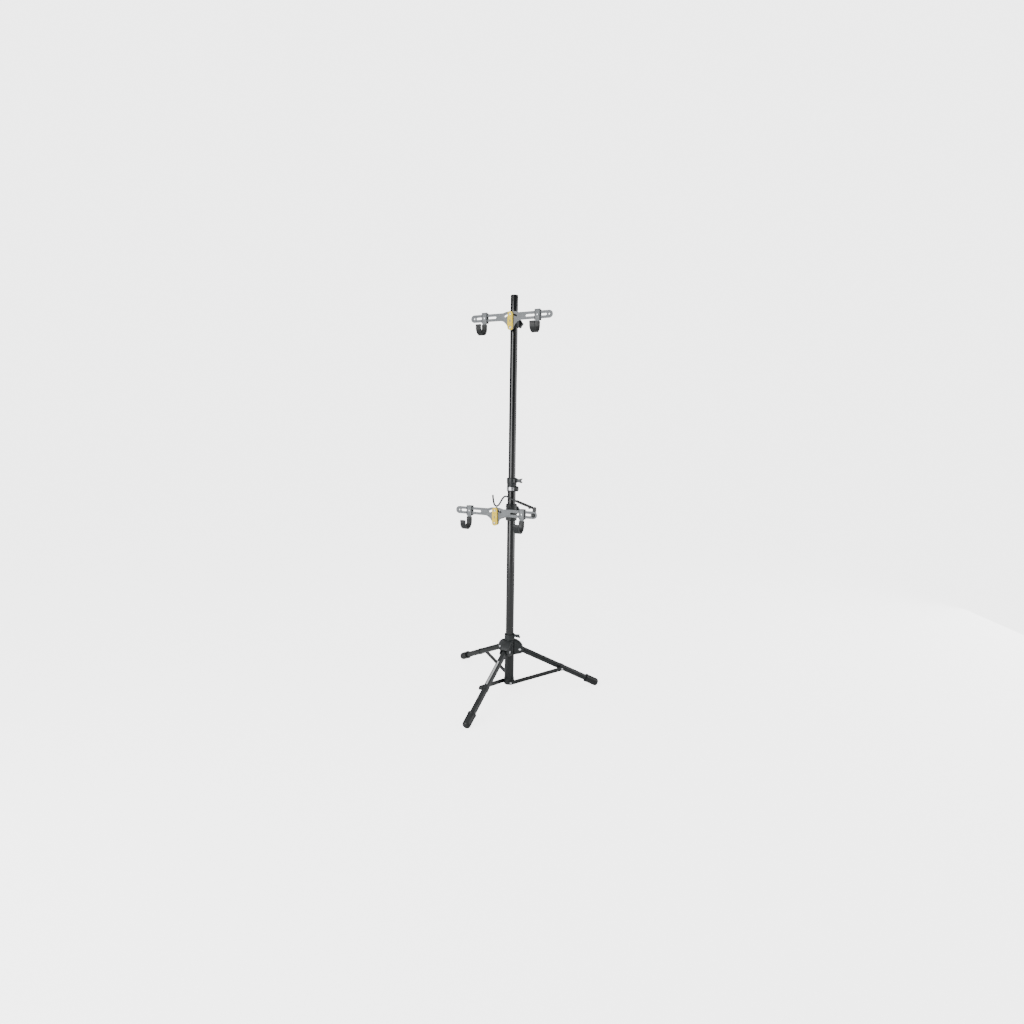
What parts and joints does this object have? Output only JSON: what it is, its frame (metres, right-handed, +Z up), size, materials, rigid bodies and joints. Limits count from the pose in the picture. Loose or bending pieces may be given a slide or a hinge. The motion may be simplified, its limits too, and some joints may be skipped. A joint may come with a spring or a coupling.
{
  "type": "bicycle display and tune-up stand",
  "caption": "Free-standing tripod stand with a telescoping mast and two height-adjustable cradles that each hold a bicycle on rubber-covered hooks.",
  "frame": {"origin": "on the floor, in the middle of the three feet's footprint box", "axes": "+Z up along the mast; the crossbars run along X; the hooks open towards -Y, the side a person stands on; the mast stands 0.11 m behind the origin"},
  "size_m": [0.802, 0.6997, 1.9035],
  "materials": {
    "gloss_black_tube": "glossy black powder coat on steel tube",
    "satin_black_tube": "satin black powder coat on steel",
    "black_plastic": "fine-textured injection-moulded nylon",
    "black_rubber": "matte black rubber",
    "grey_paint": "satin grey paint on pressed steel",
    "yellow_paint": "satin warm yellow enamel on cast plate",
    "bright_steel": "zinc-plated bright steel"
  },
  "bodies": {
    "root": {"lower_mast": "gloss_black_tube", "base_sleeve": "satin_black_tube", "foot_collar": "black_plastic", "mast_collar": "black_plastic", "collar_band": "bright_steel", "brace_screw_front": "bright_steel", "brace_screw_right": "bright_steel", "brace_screw_left": "bright_steel"},
    "upper_tube": {"upper_mast": "gloss_black_tube", "mast_cap": "black_plastic"},
    "collar_wing_knob": {"collar_knob": "black_plastic"},
    "hub": {"leg_hub": "black_plastic", "leg_pin_front": "bright_steel", "leg_pin_right": "bright_steel", "leg_pin_left": "bright_steel"},
    "hub_wing_knob": {"hub_knob": "black_plastic"},
    "front_leg": {"leg_front": "satin_black_tube", "leg_bracket_front": "black_plastic", "foot_front": "black_rubber"},
    "front_brace": {"brace_front": "satin_black_tube"},
    "right_leg": {"leg_right": "satin_black_tube", "leg_bracket_right": "black_plastic", "foot_right": "black_rubber"},
    "right_brace": {"brace_right": "satin_black_tube"},
    "left_leg": {"leg_left": "satin_black_tube", "leg_bracket_left": "black_plastic", "foot_left": "black_rubber"},
    "left_brace": {"brace_left": "satin_black_tube"},
    "upper_sleeve": {"upper_bush": "black_plastic"},
    "upper_carrier": {"upper_clamp": "black_plastic", "upper_arm": "black_plastic", "upper_cover_plate": "yellow_paint", "upper_top_screw": "bright_steel", "upper_pivot_screw": "bright_steel"},
    "upper_star_knob": {"upper_knob": "black_plastic"},
    "upper_crossbar": {"upper_bar": "grey_paint"},
    "upper_left_hook": {"upper_left_hook_strap": "grey_paint", "upper_left_hook_clip": "black_plastic", "upper_left_hook_cover": "black_rubber"},
    "upper_right_hook": {"upper_right_hook_strap": "grey_paint", "upper_right_hook_clip": "black_plastic", "upper_right_hook_cover": "black_rubber"},
    "lower_sleeve": {"lower_bush": "black_plastic"},
    "lower_carrier": {"lower_clamp": "black_plastic", "lower_arm": "black_plastic", "lower_cover_plate": "yellow_paint", "lower_top_screw": "bright_steel", "lower_pivot_screw": "bright_steel"},
    "lower_star_knob": {"lower_knob": "black_plastic"},
    "lower_crossbar": {"lower_bar": "grey_paint"},
    "lower_left_hook": {"lower_left_hook_strap": "grey_paint", "lower_left_hook_clip": "black_plastic", "lower_left_hook_cover": "black_rubber"},
    "lower_right_hook": {"lower_right_hook_strap": "grey_paint", "lower_right_hook_clip": "black_plastic", "lower_right_hook_cover": "black_rubber"},
    "stabiliser": {"stabiliser_bracket": "black_plastic", "stabiliser_bolt": "black_plastic", "stabiliser_rod": "satin_black_tube", "stabiliser_grip": "black_rubber"}
  },
  "joints": [
    {"name": "mast_slide", "type": "slide", "parent": "root", "child": "upper_tube", "axis": [0, 0, 1], "range_m": [-0.35, 0.05]},
    {"name": "collar_knob_turn", "type": "hinge", "parent": "root", "child": "collar_wing_knob", "pos_m": [0, 0.10951, 1.0505], "axis": [1, 0, 0], "range_deg": [-180, 0]},
    {"name": "hub_slide", "type": "slide", "parent": "root", "child": "hub", "axis": [0, 0, 1], "range_m": [0, 0.3272]},
    {"name": "hub_knob_turn", "type": "hinge", "parent": "hub", "child": "hub_wing_knob", "pos_m": [0, 0.10951, 0.279], "axis": [1, 0, 0], "range_deg": [-180, 0]},
    {"name": "front_leg_hinge", "type": "hinge", "parent": "hub", "child": "front_leg", "pos_m": [0, 0.05981, 0.2087], "axis": [1, 0, 0], "range_deg": [0, 62.12]},
    {"name": "right_leg_hinge", "type": "hinge", "parent": "hub", "child": "right_leg", "pos_m": [0.04304, 0.13436, 0.2087], "axis": [-0.5, 0.866, 0], "range_deg": [0, 62.12]},
    {"name": "left_leg_hinge", "type": "hinge", "parent": "hub", "child": "left_leg", "pos_m": [-0.04304, 0.13436, 0.2087], "axis": [-0.5, -0.866, 0], "range_deg": [0, 62.12]},
    {"name": "front_brace_hinge", "type": "hinge", "parent": "root", "child": "front_brace", "pos_m": [-0.0276, 0.10351, 0.036], "axis": [-1, 0, 0], "range_deg": [0, 63.88]},
    {"name": "right_brace_hinge", "type": "hinge", "parent": "root", "child": "right_brace", "pos_m": [0.019, 0.08861, 0.036], "axis": [0.5, -0.866, 0], "range_deg": [0, 63.88]},
    {"name": "left_brace_hinge", "type": "hinge", "parent": "root", "child": "left_brace", "pos_m": [0.0086, 0.13641, 0.036], "axis": [0.5, 0.866, 0], "range_deg": [0, 63.88]},
    {"name": "upper_height", "type": "slide", "parent": "upper_tube", "child": "upper_sleeve", "axis": [0, 0, 1], "range_m": [-0.25, 0.05]},
    {"name": "upper_swivel", "type": "hinge", "parent": "upper_sleeve", "child": "upper_carrier", "pos_m": [0, 0.10951, 1.8008], "axis": [0, 0, 1], "continuous": true},
    {"name": "upper_knob_turn", "type": "hinge", "parent": "upper_carrier", "child": "upper_star_knob", "pos_m": [0, 0.15581, 1.7833], "axis": [0, 1, 0], "range_deg": [-180, 0]},
    {"name": "upper_tilt", "type": "hinge", "parent": "upper_carrier", "child": "upper_crossbar", "pos_m": [0, 0.07211, 1.7528], "axis": [0, 1, 0], "range_deg": [-25, 25]},
    {"name": "upper_left_hook_slide", "type": "slide", "parent": "upper_crossbar", "child": "upper_left_hook", "axis": [-1, 0, 0], "range_m": [-0.05, 0.03]},
    {"name": "upper_right_hook_slide", "type": "slide", "parent": "upper_crossbar", "child": "upper_right_hook", "axis": [1, 0, 0], "range_m": [-0.05, 0.03]},
    {"name": "lower_height", "type": "slide", "parent": "root", "child": "lower_sleeve", "axis": [0, 0, 1], "range_m": [-0.2, 0.05]},
    {"name": "lower_swivel", "type": "hinge", "parent": "lower_sleeve", "child": "lower_carrier", "pos_m": [0, 0.10951, 0.9172], "axis": [0, 0, 1], "continuous": true},
    {"name": "lower_knob_turn", "type": "hinge", "parent": "lower_carrier", "child": "lower_star_knob", "pos_m": [0, 0.15581, 0.8997], "axis": [0, 1, 0], "range_deg": [-180, 0]},
    {"name": "lower_tilt", "type": "hinge", "parent": "lower_carrier", "child": "lower_crossbar", "pos_m": [0, -0.06819, 0.8692], "axis": [0, 1, 0], "range_deg": [-25, 25]},
    {"name": "lower_left_hook_slide", "type": "slide", "parent": "lower_crossbar", "child": "lower_left_hook", "axis": [-1, 0, 0], "range_m": [-0.05, 0.03]},
    {"name": "lower_right_hook_slide", "type": "slide", "parent": "lower_crossbar", "child": "lower_right_hook", "axis": [1, 0, 0], "range_m": [-0.05, 0.03]},
    {"name": "stabiliser_swing", "type": "hinge", "parent": "lower_crossbar", "child": "stabiliser", "pos_m": [0.1865, -0.06819, 0.9172], "axis": [0, 1, 0], "range_deg": [0, 180]}
  ],
  "couplings": [
    {"joint": "front_leg_hinge", "follows": "hub_slide", "rad_per_m": 3.3125},
    {"joint": "right_leg_hinge", "follows": "hub_slide", "rad_per_m": 3.3125},
    {"joint": "left_leg_hinge", "follows": "hub_slide", "rad_per_m": 3.3125},
    {"joint": "front_brace_hinge", "follows": "hub_slide", "rad_per_m": 3.4067},
    {"joint": "right_brace_hinge", "follows": "hub_slide", "rad_per_m": 3.4067},
    {"joint": "left_brace_hinge", "follows": "hub_slide", "rad_per_m": 3.4067}
  ]
}
